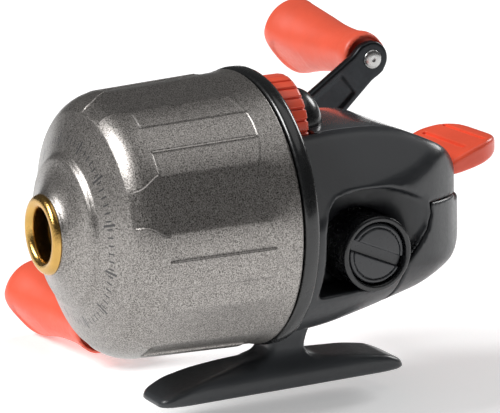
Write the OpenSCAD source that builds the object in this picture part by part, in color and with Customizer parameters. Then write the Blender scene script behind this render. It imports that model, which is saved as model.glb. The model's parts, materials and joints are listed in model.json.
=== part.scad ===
/* [Spool axis] */
// Height of the spool axis above the face of the foot
axis_z = 43; // [42:0.5:46]
// Place of the crank axis behind the centre of the foot
crank_y = 14.5; // [14:0.5:15.5]
// Drop of the crank axis below the spool axis
crank_drop = 9; // [8.5:0.25:9.5]

/* [Front cover] */
// Outer radius of the cover at its open rear rim
cover_r = 31.5; // [31.5:0.1:33]
// Outer radius of the barrel where the shoulder starts
shoulder_r = 30.2; // [30:0.1:30.6]
// Radius where the rounded shoulder meets the cone
cone_r = 26.3; // [26:0.1:27]
// Radius of the raised step on the cone
step_r = 17.6; // [17:0.1:18]
// Length of the cover from its rim to the nose
cover_len = 48; // [47:0.5:49]
// Wall thickness of the cover
cover_wall = 2; // [1.8:0.1:2.2]
// Number of grip flats round the barrel
flat_count = 6; // [4:1:6]
// Depth of a grip flat at its middle
flat_depth = 0.9; // [0.6:0.1:1]
// Radius of the line hole in the guide ring
guide_r = 5.9; // [5:0.1:6]

/* [Housing] */
// Outer radius of the ring that the cover screws onto
ring_r = 31.9; // [31.7:0.1:33]
// Radius of the round front of the housing
housing_r = 30.5; // [30:0.1:30.8]
// Wall thickness of the housing shells
shell_wall = 2; // [1.8:0.1:2.2]
// Distance from the middle of the reel to the face of a side boss
boss_x = 24; // [23.5:0.25:24.5]
// Radius of a side boss
boss_r = 8.7; // [8.5:0.1:9]

/* [Foot] */
// Length of the foot along the rod
foot_len = 64; // [60:1:66]
// Width of the foot
foot_w = 14; // [12:0.5:14]
// Width of the stem that carries the housing
stem_w = 9; // [8:0.5:10]

/* [Drive] */
// Teeth on the drive gear
drive_teeth = 39; // [39:1:39]
// Teeth on the pinion
pinion_teeth = 10; // [10:1:10]
// Outer radius of the drive gear
drive_r = 16; // [15.5:0.1:16]
// Radius of the pinion over its teeth
pinion_r = 3.9; // [3.7:0.1:3.9]
// Forward travel of the centre shaft when the button is pressed
push = 2.3; // [2:0.1:2.4]
// Teeth on the ratchet wheel
ratchet_teeth = 12; // [8:1:16]

/* [Drag] */
// Radius of the drag dial
dial_r = 11.4; // [10.8:0.1:11.5]
// Height of the dial axis above the spool axis
dial_rise = 18; // [18:0.1:18.2]
// Number of grip ribs round the dial
dial_ribs = 26; // [18:1:32]

/* [Crank] */
// Distance from the crank axis to a knob
arm_len = 47.5; // [44:0.5:50]
// Lean of the crank arm above the rearward direction
arm_angle = 38.2; // [0:1:90]
// Distance from the middle of the reel to the inner face of the arm
arm_x = 44; // [42:0.5:46]
// Length of a knob
knob_len = 40; // [36:1:42]
// Radius of a knob across its paddle
knob_r = 9.8; // [9.5:0.1:10.5]
// Half thickness of a knob's paddle
knob_half = 7.8; // [7.5:0.1:8.5]

/* [Thumb button] */
// Half width of the button
button_half = 12.6; // [12.4:0.1:13]
// Radius of the pin that the button tips on
button_pin_r = 1.5; // [1.3:0.1:1.6]

/* [Hidden] */
$fn = 64;
// A hair that keeps two cuts from ending on the same face
eps = 0.05;
// Radial room of a turning or sliding fit
fit = 0.05;
// Wall between a flank's hollow and the inside of the housing
cup_wall = 1.4;

// Stations along the spool axis, as y values
rim_y = -8;
ring_back_y = -4;
deck_t = 2.4;
deck_front_y = rim_y - deck_t;
hub_r = 6.4;
hub_end_y = -31.4;
shaft_r = 1.6;
pinion_tube_r = 2.8;
bearing_r = 4.9;
spool_back_y = -15;
spool_front_y = -30;
spinner_front_y = -41;
spinner_r = 21.5;
thread_r = 29.2;

// Crank axis and the parts on it
crank_z = axis_z - crank_drop;
drive_shaft_r = 3;
gear_face_x = -(pinion_r + 0.15);
gear_back_x = -8;

// Dial axis
dial_z = axis_z + dial_rise;
dial_front_y = -2.5;
dial_back_y = 4.6;

// Button pivot
pivot_y = 31;
pivot_z = 52;

// Pivot of the pawl
pawl_y = 26;
pawl_z = 43.6;

// Places of small screws
foot_screw_ys = [-0.6, 5.2];
deck_screw_angles = [30, 150, 270];
frame_screw_xs = [-9.4, 7.4];
frame_screw_rises = [-20, 2.8];

// Crank knobs
pin_r = 1.85;
knob_gap = 0.4;
arm_t = 2.6;

black = "#26282b";
dark = "#3a3c40";
coral = "#f0503c";
gunmetal = "#77736f";
steel = "#b9bcc0";
brass = "#c99a3a";

// Local z points forward along the spool axis, starting at y
module on_spool_axis(y, x = 0, z = axis_z) {
    translate([x, y, z]) rotate([90, 0, 0]) children();
}

// Local z points towards +x along an axis through y and z
module on_cross_axis(x, y = crank_y, z = crank_z) {
    translate([x, y, z]) rotate([0, 90, 0]) children();
}

// A flat ring or disc on the spool axis, from y_back forward to y_front
module spool_ring(y_back, y_front, r_out, r_in = 0) {
    on_spool_axis(y_back) difference() {
        cylinder(r = r_out, h = y_back - y_front);
        if (r_in > 0)
            translate([0, 0, -1]) cylinder(r = r_in, h = y_back - y_front + 2);
    }
}

// A ring on the crank axis, from x_low to x_high
module crank_ring(x_low, x_high, r_out, r_in = 0) {
    on_cross_axis(x_low) difference() {
        cylinder(r = r_out, h = x_high - x_low);
        if (r_in > 0)
            translate([0, 0, -1]) cylinder(r = r_in, h = x_high - x_low + 2);
    }
}

// A shape drawn in y and z, given thickness from x_low to x_high
module side_slab(x_low, x_high) {
    translate([x_low, 0, 0]) rotate([90, 0, 90])
        linear_extrude(x_high - x_low) children();
}

// Teeth round a disc, each a small block standing out from r_root to r_tip
module tooth_ring(count, r_root, r_tip, width, height) {
    for (i = [0:count - 1])
        rotate([0, 0, i * 360 / count])
            translate([r_root - 0.3, -width / 2, 0])
                cube([r_tip - r_root + 0.3, width, height]);
}

// A compression spring drawn as a stack of rings joined by a thin tube
module ring_spring(r, wire, height, turns) {
    union() {
        for (i = [0:turns - 1])
            translate([0, 0, wire + i * (height - 2 * wire) / (turns - 1)])
                rotate_extrude() translate([r, 0]) circle(r = wire, $fn = 16);
        difference() {
            translate([0, 0, wire]) cylinder(r = r + wire * 0.3, h = height - 2 * wire);
            cylinder(r = r - wire * 0.3, h = height);
        }
    }
}

// ---- Front cover ----

// Half section of the cover, radius against distance forward of the rim
module cover_profile(inset, start) {
    shoulder_h = 32;
    cone_h = 38.7;
    step_h = 42.7;
    polygon([
        [0, start],
        [cover_r - inset, start],
        [shoulder_r - inset, shoulder_h],
        [shoulder_r - 0.7 - inset, shoulder_h + 2.6 - inset * 0.2],
        [shoulder_r - 1.9 - inset * 0.9, shoulder_h + 4.8 - inset * 0.4],
        [cone_r - inset * 0.6, cone_h - inset * 0.8],
        [step_r - inset * 0.2, step_h - inset],
        [step_r - 0.9 - inset * 0.2, step_h + 1.5 - inset],
        [10, cover_len - 0.9 - inset],
        [9.3, cover_len - inset],
        [0, cover_len - inset],
    ]);
}

module cover_flats() {
    for (i = [0:flat_count - 1])
        rotate([0, 0, 20 + i * 360 / flat_count])
            translate([cover_r - flat_depth, -12, 4])
                rotate([0, -2.2, 0]) cube([10, 24, 30]);
}

module front_cover() {
    color(gunmetal) on_spool_axis(rim_y) difference() {
        rotate_extrude($fn = 96) cover_profile(0, 0);
        rotate_extrude($fn = 96) cover_profile(cover_wall, -eps);
        cover_flats();
        cylinder(r = 7.5, h = cover_len + 5);
    }
}

// Smooth ring that the line runs out through
module line_guide_ring() {
    lip = 1.6;
    color(brass) on_spool_axis(rim_y - cover_len) rotate_extrude() union() {
        translate([guide_r, -4]) square([7.5 - guide_r, 4]);
        translate([guide_r + lip, 0]) intersection() {
            circle(r = lip, $fn = 32);
            translate([-lip, 0]) square([2 * lip, lip]);
        }
    }
}

// ---- Housing ----

// Ring that the cover screws onto, with a spigot inside the cover
module body_ring() {
    color(black) difference() {
        union() {
            spool_ring(ring_back_y, rim_y + 0.3, ring_r);
            spool_ring(rim_y + 0.4, rim_y - 5, thread_r);
        }
        spool_ring(ring_back_y - 1.6, rim_y - 7, 27.5);
        translate([-24, -9, 20]) cube([48, 8, 39]);
        on_spool_axis(0, z = dial_z) cylinder(r = 2.4, h = 8);
    }
}

// Outline of the housing from the side, at its middle, drawn in y and z
module housing_side(inset) {
    i = inset;
    polygon([
        [ring_back_y, 60.6 - i], [10, 61.6 - i], [18, 61.4 - i], [25, 60 - i],
        [32, 57 - i], [38, 53.8 - i], [42.6 - i, 50], [45.6 - i, 45],
        [47 - i, 39], [46.8 - i, 33], [44.6 - i, 27.4], [40 - i, 22.4 + i],
        [33, 19 + i], [19, 15.8 + i], [8, 13.6 + i], [ring_back_y, 12.6 + i],
    ]);
}

// Outline of the housing from above, drawn in x and y
module housing_plan(inset) {
    half = [
        [housing_r - inset, ring_back_y - 1], [29.4 - inset, 0], [26.6 - inset, 8],
        [25 - inset, 15], [23.2 - inset, 25], [20.4 - inset, 32],
        [16.6 - inset, 38 - inset * 0.6], [11 - inset * 0.6, 43 - inset],
        [5.4, 46.2 - inset],
    ];
    last = len(half) - 1;
    polygon(concat(half, [for (i = [last:-1:0]) [-half[i][0], half[i][1]]]));
}

// Outline of the housing from the front, with sloping shoulders
module housing_front(inset) {
    side = inset * 0.9;
    top = inset * 0.6;
    half = [
        [9, 19 - top], [13.5 - side, 18.2 - top], [25.6 - side, 5 - top], [31, 0],
        [31, -31],
    ];
    last = len(half) - 1;
    intersection() {
        circle(r = housing_r - inset, $fn = 96);
        polygon(concat(half, [for (i = [last:-1:0]) [-half[i][0], half[i][1]]]));
    }
}

// Below the spool axis the housing is round, closing to a blunt tail
module housing_belly(inset) {
    i = inset / 2;
    on_spool_axis(52 - inset) rotate_extrude($fn = 96) polygon([
        [0, 4], [4 - i, 5], [10 - i, 5.3], [15.6 - i, 7.4], [20.6 - i, 12],
        [24 - i, 19], [27.2 - i, 33], [29.4 - i, 44], [31 - i, 57], [31 - i, 66],
        [0, 66],
    ]);
    translate([-40, -20, axis_z]) cube([80, 80, 30]);
}

module housing_solid(inset) {
    intersection() {
        side_slab(-33, 33) housing_side(inset);
        translate([0, 0, 5]) linear_extrude(65) housing_plan(inset);
        on_spool_axis(52) linear_extrude(60) housing_front(inset);
        housing_belly(inset);
    }
}

// Rounded hood behind the dial
module dial_hood(inset) {
    hood_r = 8.1 - inset;
    on_spool_axis(8.2, z = dial_z) cylinder(r = hood_r, h = 2.9 - inset);
    on_spool_axis(12.6 - inset, z = dial_z)
        cylinder(r1 = 3.2 - inset, r2 = hood_r, h = 4.4 - inset + eps);
}

// Distance from the middle of the reel to the floor of a flank's hollow; the
// bracket stands close behind the one on the crank side
function pocket_floor(side) = side > 0 ? 13.7 : 15.2;

// Hollow in each flank, in front of and below the side boss
module pocket_outline(grow) {
    difference() {
        polygon([
            [-1 - grow, 26 - grow], [-1 - grow, 42 + grow], [0.6 - grow * 0.5, 46 + grow],
            [4, 48.3 + grow], [10.3, 49.1 + grow], [17.8, 48.7 + grow],
            [22.5 + grow, 47.2 + grow], [24.5 + grow, 43.5], [24.2 + grow, 37],
            [crank_y + grow, crank_z], [13 + grow, 26.2 - grow],
        ]);
        translate([crank_y, crank_z]) circle(r = boss_r + 0.01 - grow);
    }
}

module pocket_cut(side, x_in, grow) {
    if (side > 0)
        side_slab(x_in, 40) pocket_outline(grow);
    else
        side_slab(-40, -x_in) pocket_outline(grow);
}

// Space for the button and the tail cover
module tail_region(gap) {
    side_slab(-40, 40) polygon([
        [29.8 - gap, 43.4 + gap], [60, 41.4 + gap], [60, 5], [22.6 - gap, 5],
        [22.6 - gap, 30], [25.2 - gap, 33.4], [28.9 - gap, 37.3], [30.3 - gap, 40.9],
    ]);
}

module button_well() {
    translate([-button_half - 0.4, 35.4, 41]) cube([2 * button_half + 0.8, 30, 30]);
}

// The skin of the housing's roof that the glossy panel takes the place of
module panel_skin(grow) {
    side_slab(-12, 12) intersection() {
        difference() {
            housing_side(-grow);
            housing_side(1);
        }
        translate([5.2, 45]) square([30.2, 30]);
    }
}

module dial_slot() {
    translate([-dial_r - 0.8, dial_front_y - 0.7, 44])
        cube([2 * dial_r + 1.6, dial_back_y - dial_front_y + 1.3, 30]);
}

// Space inside the housing, with the hollows of the flanks walled off
module housing_cavity() {
    difference() {
        housing_solid(shell_wall);
        for (side = [-1, 1])
            pocket_cut(side, pocket_floor(side) - cup_wall, cup_wall);
    }
}

module rear_cover() {
    color(dark) difference() {
        housing_solid(0);
        housing_cavity();
        spool_ring(ring_back_y + 2, ring_back_y - 2, housing_r - shell_wall);
        for (side = [-1, 1]) pocket_cut(side, pocket_floor(side), 0);
        crank_ring(-40, 40, boss_r);
        tail_region(0);
        button_well();
        dial_slot();
        panel_skin(2);
        foot_screw_holes();
    }
}

module top_panel() {
    color(dark) difference() {
        union() {
            panel_skin(0);
            difference() {
                dial_hood(0);
                dial_hood(1.4);
                translate([-15, 0, 40]) cube([30, 20, 20.9]);
            }
        }
        button_well();
        dial_slot();
    }
}

// Shell round the rear, closed by a floor under the button
module tail_cover() {
    floor_z = 39.2;
    color(dark) difference() {
        intersection() {
            housing_solid(0);
            tail_region(-0.3);
        }
        intersection() {
            housing_solid(shell_wall);
            side_slab(-40, 40) polygon([
                [0, 0], [0, 60], [36, 60], [36, floor_z], [60, floor_z], [60, 0],
            ]);
        }
        button_well();
        crank_ring(-40, 40, boss_r + 0.3);
        translate([-30, 20, 5]) cube([60, 3.2, 12]);
    }
}

// Round boss that stands out through the flank and holds the shaft line
module boss_tube(x_out) {
    difference() {
        crank_ring(pocket_floor(1) - cup_wall, x_out, boss_r, 4.2);
        crank_ring(16, x_out + 1, 7.3);
    }
}

module left_boss() {
    color(black) boss_tube(boss_x);
}

module right_boss() {
    color(black) crank_ring(-boss_x, -pocket_floor(-1) + cup_wall, boss_r, 5.4);
}

// Slotted cap that closes the side without the crank
module side_cap() {
    slot_w = 2.5;
    color(dark) difference() {
        union() {
            crank_ring(20.6, boss_x - 0.2, 6.9);
            crank_ring(16.3, 20.7, 6.4, 4.6);
        }
        on_cross_axis(boss_x - 1.4) rotate([0, 0, -24])
            translate([-slot_w / 2, -8, 0]) cube([slot_w, 16, 3]);
    }
}

// ---- Foot ----

module stem_side() {
    polygon([
        [-6.2, 6.2], [-3.8, 7.4], [-3, 9.4], [-3, 22], [12, 22], [10.6, 16.6],
        [7.2, 12.4], [5.9, 9], [6.4, 6.4], [8.4, 4.6], [8.4, 2], [-6.2, 2],
    ]);
}

module foot_side() {
    h = foot_len / 2;
    polygon([
        [-h, 0], [-h, 1], [2 - h, 3.6], [-26, 5.4], [-18, 6.8], [-8, 7.6],
        [4, 7.2], [10, 6.2], [20, 5.2], [27, 4], [h - 1.4, 2.4], [h, 0.8], [h, 0],
    ]);
}

module foot_plan() {
    h = foot_len / 2;
    w = foot_w / 2;
    polygon([
        [-w + 2.4, -h], [w - 2.4, -h], [w - 0.7, 2 - h], [w, 6 - h], [w, h - 6],
        [w - 0.7, h - 2], [w - 2.4, h], [-w + 2.4, h], [-w + 0.7, h - 2],
        [-w, h - 6], [-w, 6 - h], [-w + 0.7, 2 - h],
    ]);
}

module foot_screw_holes() {
    for (y = foot_screw_ys)
        translate([0, y, 8]) cylinder(r = 1.4, h = 12);
}

module reel_foot() {
    crown_r = 8.9;
    color(black) difference() {
        union() {
            intersection() {
                side_slab(-foot_w, foot_w) foot_side();
                linear_extrude(10) foot_plan();
                translate([0, foot_len, -1.2]) rotate([90, 0, 0])
                    cylinder(r = crown_r, h = 2 * foot_len);
            }
            side_slab(-stem_w / 2, stem_w / 2) stem_side();
        }
        housing_solid(0);
        spool_ring(0, -40, ring_r + 0.3);
        spool_ring(0.5, -3.5, housing_r);
        foot_screw_holes();
    }
}

// Screws that hold the foot to the floor of the housing, heads inside
module foot_screws() {
    color(steel) for (y = foot_screw_ys) {
        translate([0, y, 8]) cylinder(r = 1.4, h = 9);
        translate([0, y, 16.2]) cylinder(r = 2.5, h = 1.4);
    }
}

// ---- Frame ----

module at_deck_screws() {
    for (a = deck_screw_angles)
        translate([24 * cos(a), 24 * sin(a), 0]) children();
}

// Metal plate that closes the back of the spool chamber
module deck_plate() {
    color(steel) difference() {
        union() {
            spool_ring(rim_y, deck_front_y, 27.5);
            spool_ring(rim_y, hub_end_y, hub_r);
        }
        spool_ring(rim_y + 1, hub_end_y - 1, 3.3);
        spool_ring(hub_end_y + 4, hub_end_y - 1, bearing_r);
        spool_ring(rim_y + 1, deck_front_y, bearing_r);
        on_spool_axis(rim_y + 1, z = dial_z) cylinder(r = 2 + fit, h = 6);
        on_spool_axis(rim_y + 1) at_deck_screws() cylinder(r = 1.2, h = 6);
        at_frame_screws(rim_y + 1) cylinder(r = 1, h = 2.5);
    }
}

// Screws through the deck into the ring
module deck_screws() {
    color(steel) on_spool_axis(rim_y) at_deck_screws() {
        cylinder(r = 1.2, h = deck_t + eps);
        translate([0, 0, deck_t]) cylinder(r = 2.2, h = 1);
    }
}

module at_frame_screws(y) {
    on_spool_axis(y) for (x = frame_screw_xs) for (z = frame_screw_rises)
        translate([x, z, 0]) children();
}

// Bracket behind the deck that carries the crank shaft and guides the centre shaft
module gear_frame() {
    base_y = rim_y + 2;
    rear_y = 25;
    color(steel) difference() {
        union() {
            translate([-13.5, rim_y, 20]) cube([25, 2, 28]);
            translate([9.5, base_y - eps, 25]) cube([2, rear_y - base_y + 2, 24]);
            translate([-13.5, base_y - eps, 25]) cube([2, rear_y - base_y + 3.5, 24]);
            translate([-3.2, rear_y, 25]) cube([12.8, 2, 24]);
        }
        spool_ring(rim_y + 3, rim_y - 1, bearing_r + 0.4);
        on_spool_axis(rear_y + 3) cylinder(r = shaft_r + fit, h = 5);
        crank_ring(8, 12, 4.5);
        crank_ring(-14, -11, 6);
        on_cross_axis(-14, pawl_y, pawl_z) cylinder(r = 1.3, h = 3);
        at_frame_screws(rim_y + 3) cylinder(r = 1, h = 4);
    }
}

// Screws that hold the bracket to the deck
module frame_screws() {
    color(steel) at_frame_screws(rim_y + 2.9) {
        cylinder(r = 1.8, h = 0.9);
        cylinder(r = 1, h = 4.4);
    }
}

// ---- Spool and drag ----

module spool() {
    color(steel) difference() {
        union() {
            spool_ring(spool_back_y, spool_back_y - 1.4, 25);
            spool_ring(spool_back_y, spool_front_y, 10);
            spool_ring(spool_front_y + 1.4, spool_front_y, 19.4);
        }
        spool_ring(0, -40, hub_r + fit);
    }
}

module wound_line() {
    color("#dfe6e2") on_spool_axis(spool_back_y - 1.4) rotate_extrude() difference() {
        translate([10, 0]) square([8.4, spool_back_y - spool_front_y - 2.8]);
        for (i = [0:5])
            translate([18.7, 1 + i * 2.05]) circle(r = 0.5, $fn = 16);
    }
}

module spool_clip() {
    color(steel) spool_ring(spool_front_y - 0.3, hub_end_y + 0.2, 8, hub_r);
}

module drag_felt_washer() {
    color("#6b4a35") spool_ring(spool_back_y + 0.7, spool_back_y, 14, 7);
}

// Plate that the drag presses forward; it slides on the hub
module drag_plate() {
    color(steel) spool_ring(-12.7, -13.3, 14.5, hub_r + fit);
}

// Dished washer in front of the plate
module drag_spring_washer() {
    color(steel) on_spool_axis(-13.3) difference() {
        cylinder(r1 = 9.4, r2 = 12.4, h = 0.5);
        translate([0, 0, -eps]) cylinder(r1 = 8, r2 = 11, h = 0.6);
    }
}

// Toothed ring that the dial turns
module drag_cam_ring() {
    color("#8d8f92") on_spool_axis(-11) difference() {
        union() {
            cylinder(r = 11.6, h = 1.3);
            tooth_ring(39, 11.6, 12.7, 1, 1.3);
            for (a = [0, 120, 240])
                rotate([0, 0, a]) translate([7.4, -1.5, 1.3]) cube([3, 3, 0.25]);
        }
        translate([0, 0, -1]) cylinder(r = hub_r + fit, h = 4);
    }
}

// Axle of the dial with the small gear on its front end
module dial_shaft() {
    color(brass) on_spool_axis(dial_back_y - 1, z = dial_z) {
        cylinder(r = 2, h = dial_back_y - 1 + 12.3);
        translate([0, 0, dial_back_y + 10]) {
            cylinder(r = 3.9, h = 1.3);
            tooth_ring(15, 3.9, 5, 1, 1.3);
        }
    }
}

// Thumb wheel that sets the drag
module drag_dial() {
    thick = dial_back_y - dial_front_y;
    color(coral) on_spool_axis(dial_back_y, z = dial_z) difference() {
        union() {
            cylinder(r = dial_r - 0.5, h = thick);
            for (i = [0:dial_ribs - 1]) rotate([0, 0, i * 360 / dial_ribs])
                translate([dial_r - 1, -0.95, 0.3]) cube([1, 1.9, thick - 0.6]);
        }
        translate([0, 0, -1]) cylinder(r = 2, h = thick + 2);
        translate([0, 0, thick - 2]) difference() {
            cylinder(r = dial_r - 2.5, h = 3);
            cylinder(r = 4, h = 3);
        }
    }
}

// ---- Spinner and centre shaft ----

module spinner_head() {
    pin_y = -34;
    color(steel) difference() {
        union() {
            spool_ring(spinner_front_y + 1.6, spinner_front_y, spinner_r);
            spool_ring(-28.4, spinner_front_y, spinner_r, spinner_r - 1.4);
            spool_ring(-33.6, spinner_front_y, 4.5);
            translate([7, pin_y - 2.4, axis_z - 2.4]) cube([13.4, 4.8, 4.8]);
            translate([7, -39.5, axis_z - 2.4]) cube([2, 5, 4.8]);
            translate([14, -39.5, axis_z - 2.4]) cube([2, 5, 4.8]);
        }
        spool_ring(-30, -45, shaft_r);
        translate([6.5, pin_y, axis_z]) rotate([0, 90, 0]) cylinder(r = 1 + fit, h = 20);
        translate([11, pin_y, axis_z]) rotate([0, 90, 0]) cylinder(r = 1.75, h = 7.6);
    }
}

// Pin that catches the line; it draws in when the button is pressed
module pickup_pin() {
    color(steel) translate([8, -34, axis_z]) rotate([0, 90, 0]) {
        cylinder(r = 1, h = 15.2);
        translate([0, 0, 8.4]) cylinder(r = 1.55, h = 0.9);
    }
}

module pin_spring() {
    color(steel) translate([11, -34, axis_z]) rotate([0, 90, 0])
        ring_spring(1.45, 0.2, 3, 4);
}

module spinner_nut() {
    color(brass) on_spool_axis(spinner_front_y) difference() {
        cylinder(r = 3.6, h = 2.2, $fn = 6);
        translate([0, 0, -1]) cylinder(r = shaft_r, h = 6);
    }
}

module centre_shaft() {
    color(steel) spool_ring(31.5, -43.8, shaft_r);
}

module shaft_clip() {
    color(steel) spool_ring(23.2, 22.4, 3, shaft_r);
}

module shaft_spring() {
    color(steel) on_spool_axis(22) ring_spring(2.4, 0.3, 13, 9);
}

module pinion_gear() {
    color(brass) difference() {
        union() {
            spool_ring(8.5, -33, pinion_tube_r);
            on_spool_axis(8.5) {
                cylinder(r = 3.1, h = 9);
                tooth_ring(pinion_teeth, 3.1, pinion_r, 1, 9);
            }
        }
        spool_ring(10, -35, shaft_r + fit);
    }
}

module ball_bearing_on_spool_axis(y_back, y_front) {
    spool_ring(y_back, y_front, bearing_r, 4.1);
    spool_ring(y_back, y_front, 3.7, pinion_tube_r + fit);
    spool_ring(y_back - 0.3, y_front + 0.3, 4.15, 3.65);
}

module front_bearing() {
    color(steel) ball_bearing_on_spool_axis(hub_end_y + 4, hub_end_y + 1);
}

module rear_bearing() {
    color(steel) ball_bearing_on_spool_axis(rim_y, deck_front_y);
}

// ---- Drive ----

module drive_shaft() {
    color(steel) difference() {
        union() {
            crank_ring(-arm_x - arm_t, 12, drive_shaft_r);
            crank_ring(gear_back_x - 0.4, gear_back_x, 4.6);
        }
        on_cross_axis(7) cylinder(r = 1.5, h = 6, $fn = 6);
    }
}

// Face gear: the teeth stand out from the disc towards the pinion
module drive_gear() {
    tooth_h = 1;
    ring_in = 11.5;
    color(brass) difference() {
        union() {
            crank_ring(gear_back_x, gear_face_x - tooth_h, drive_r);
            crank_ring(gear_face_x - tooth_h - eps, gear_face_x + 4, 5);
            on_cross_axis(gear_face_x - tooth_h - eps) for (i = [0:drive_teeth - 1])
                rotate([0, 0, i * 360 / drive_teeth])
                    translate([ring_in, -0.55, 0])
                        cube([drive_r - ring_in - 0.2, 1.1, tooth_h + eps]);
        }
        crank_ring(-12, 4, drive_shaft_r);
        on_cross_axis(gear_back_x - 1) for (a = [0:60:300])
            rotate([0, 0, a]) translate([8.2, 0, 0]) cylinder(r = 1.6, h = 8);
    }
}

module ratchet_wheel() {
    tip_r = 9;
    color(steel) on_cross_axis(-10.8) difference() {
        union() {
            cylinder(r = tip_r - 1.5, h = 1.8);
            linear_extrude(1.8) for (i = [0:ratchet_teeth - 1])
                rotate(i * 360 / ratchet_teeth)
                    polygon([[0, 0], [tip_r - 1.6, -3.6], [tip_r, 0]]);
        }
        translate([0, 0, -1]) cylinder(r = drive_shaft_r, h = 4);
    }
}

module left_bush() {
    color(brass) crank_ring(9.5, 11.8, 4.5, drive_shaft_r + fit);
}

module crank_bearing() {
    color(steel) {
        crank_ring(-13.5, -11.5, 6, 5.2);
        crank_ring(-13.5, -11.5, 4.6, drive_shaft_r + fit);
        crank_ring(-13.2, -11.8, 5.25, 4.55);
    }
}

// Pawl that stops the crank turning backwards, drawn lifted clear
module antireverse_pawl() {
    color(steel) difference() {
        side_slab(-10.8, -9) union() {
            translate([pawl_y, pawl_z]) circle(r = 2.6);
            polygon([[26, 46.1], [18.6, 44.9], [18, 43.7], [19.6, 43.4], [25.6, 41.1]]);
        }
        on_cross_axis(-12, pawl_y, pawl_z) cylinder(r = 1.3 + fit, h = 5);
    }
}

module pawl_pin() {
    color(steel) on_cross_axis(-13.5, pawl_y, pawl_z) cylinder(r = 1.3, h = 5.2);
}

module pawl_spring() {
    color(steel) on_cross_axis(-11.3, pawl_y, pawl_z) difference() {
        cylinder(r = 2.2, h = 0.4);
        translate([0, 0, -1]) cylinder(r = 1.3, h = 3);
    }
}

// ---- Thumb button ----

// Outline of the button's paddle from the side, drawn in y and z
module button_side() {
    polygon([
        [37.4, 48.4], [37.4, 46.3], [42.5, 46.5], [50, 48], [55.8, 49.2],
        [57.6, 50.4], [57.4, 52.2], [55, 53.5], [51.4, 53.4], [46.3, 52.3],
        [41, 50.1],
    ]);
}

// Outline of the button's paddle from above, drawn in x and y
module button_plan() {
    w = button_half;
    polygon([
        [-w, 30], [w, 30], [w, 47], [w - 0.8, 50.4], [w - 2.7, 53.4], [w - 5.4, 55.6],
        [w - 9, 57], [9 - w, 57], [5.4 - w, 55.6], [2.7 - w, 53.4], [0.8 - w, 50.4],
        [-w, 47],
    ]);
}

module thumb_button() {
    color(coral) difference() {
        union() {
            intersection() {
                side_slab(-20, 20) button_side();
                linear_extrude(70) button_plan();
            }
            for (x = [-9.5, 6.5]) side_slab(x, x + 3) polygon([
                [pivot_y, pivot_z + 1.2], [pivot_y, pivot_z - 1.2],
                [38.6, 46.6], [40.4, 47], [40.4, 49],
            ]);
            on_cross_axis(-9.5, pivot_y, pivot_z) cylinder(r = 2.5, h = 19);
            side_slab(-3, 3) polygon([
                [pivot_y - 1, pivot_z - 1], [pivot_y + 2, pivot_z - 1],
                [pivot_y + 3.8, axis_z - 2], [pivot_y + 1.6, axis_z - 2],
            ]);
        }
        on_cross_axis(-10, pivot_y, pivot_z) cylinder(r = button_pin_r + fit, h = 20);
        for (groove = [[39.5, 48.9], [46, 51.6], [51.4, 52.9]])
            translate([-9.4, groove[0] - 0.5, groove[1]]) cube([18.8, 1, 3]);
    }
}

module button_pin() {
    color(steel) on_cross_axis(-13, pivot_y, pivot_z) cylinder(r = button_pin_r, h = 26);
}

// Spring that stands on the floor of the tail cover, under the button
module button_spring() {
    color(steel) translate([0, 39, 41]) ring_spring(2.6, 0.35, 5.2, 5);
}

// ---- Crank ----

module crank_sleeve() {
    color(black) crank_ring(-arm_x, -15, 5, drive_shaft_r);
}

// Runs its children at a knob's pin, for side 1 (upper) and -1 (lower)
module at_knob(side) {
    translate([0, crank_y + side * arm_len * cos(arm_angle),
               crank_z + side * arm_len * sin(arm_angle)])
        children();
}

module crank_arm() {
    color(black) difference() {
        union() {
            crank_ring(-arm_x - arm_t, -arm_x, 8);
            for (side = [-1, 1]) {
                at_knob(side) rotate([0, -90, 0])
                    translate([0, 0, arm_x]) cylinder(r = 4.4, h = arm_t);
                on_cross_axis(-arm_x - arm_t) rotate([0, 0, 90])
                    rotate([0, 0, arm_angle + (side > 0 ? 0 : 180)])
                        linear_extrude(arm_t) polygon([
                            [0, -7.7], [arm_len, -4], [arm_len, 4], [0, 7.7],
                        ]);
            }
        }
        crank_ring(-60, -30, drive_shaft_r);
        for (side = [-1, 1]) at_knob(side)
            translate([-60, 0, 0]) rotate([0, 90, 0]) cylinder(r = pin_r, h = 30);
    }
}

module crank_nut() {
    color(steel) on_cross_axis(-arm_x - arm_t - 3.2) {
        cylinder(r = 5, h = 3.2, $fn = 6);
    }
}

// Pins riveted through the arm, one in each knob
module knob_pins() {
    color(steel) for (side = [-1, 1]) at_knob(side) {
        translate([-arm_x - knob_len + 3, 0, 0]) rotate([0, 90, 0])
            cylinder(r = pin_r, h = knob_len - 3);
        translate([-arm_x, 0, 0]) rotate([0, 90, 0]) cylinder(r = 2.4, h = 0.7);
    }
}

// Paddle knob: a flared body, flattened on two sides, with a hollow collar
module knob(side) {
    root = arm_x + arm_t + knob_gap;
    at_knob(side) translate([-root, 0, 0]) rotate([0, -90, 0]) difference() {
        intersection() {
            rotate_extrude() polygon([
                [0, 0], [5.4, 0], [6.2, 0.8], [6.2, 3.2], [5.9, 5], [5.8, 8],
                [5.9, 12], [6.3, 17], [7.1, 22], [8.3, 27.5], [9.2, 31],
                [knob_r, 34.5], [knob_r - 0.3, 36.6],
                [knob_r - 2, knob_len - 1.6], [knob_r - 4.6, knob_len - 0.4],
                [0, knob_len],
            ]);
            rotate([0, 0, arm_angle]) translate([-knob_half, -20, -1])
                cube([2 * knob_half, 40, knob_len + 2]);
        }
        translate([0, 0, -1]) cylinder(r = pin_r + fit, h = knob_len - 3);
    }
}

module upper_knob() {
    color(coral) knob(1);
}

module lower_knob() {
    color(coral) knob(-1);
}

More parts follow.
